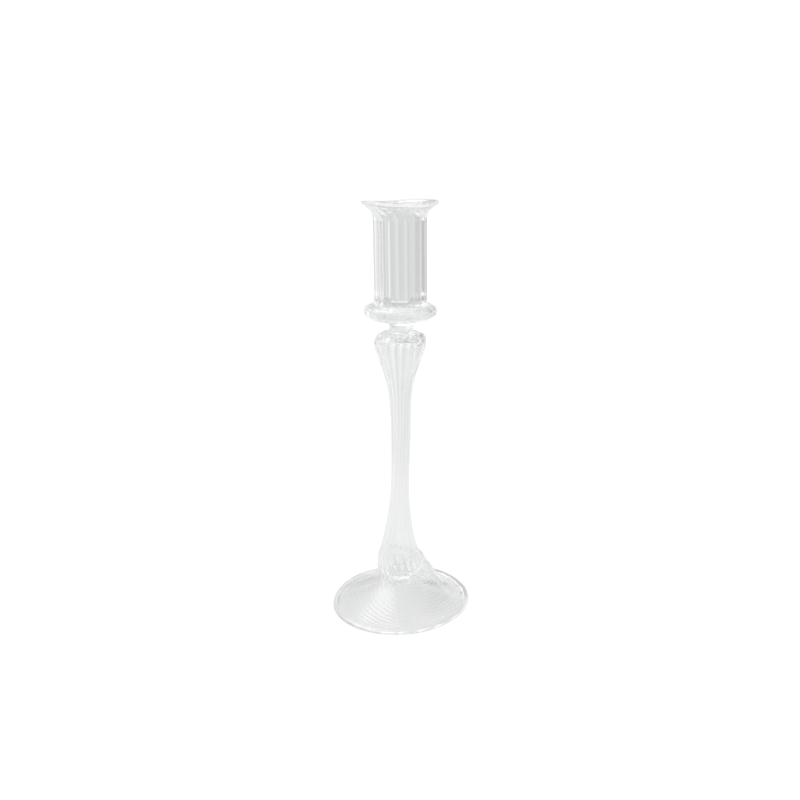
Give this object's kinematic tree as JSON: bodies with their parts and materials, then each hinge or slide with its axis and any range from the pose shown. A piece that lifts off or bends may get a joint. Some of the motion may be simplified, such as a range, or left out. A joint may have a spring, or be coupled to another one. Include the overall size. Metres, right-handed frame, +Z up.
{
  "type": "glass candlestick",
  "caption": "Tall clear glass candlestick with a fluted candle cup, drip ring, hollow ribbed baluster stem and a broad swirled foot; it holds a taper candle.",
  "frame": {"origin": "centre of the foot's underside, on the surface that the candlestick stands on", "axes": "+Z up along the candlestick's axis, towards the mouth of the candle cup"},
  "size_m": [0.0784, 0.0784, 0.225],
  "materials": {
    "ribbed_glass": "clear blown glass with optic ribs, fire-polished",
    "plain_glass": "clear solid glass, fire-polished"
  },
  "bodies": {
    "root": {"foot": "ribbed_glass", "foot_seal": "plain_glass", "stem": "ribbed_glass", "neck": "plain_glass", "candle_cup": "ribbed_glass"}
  },
  "joints": []
}
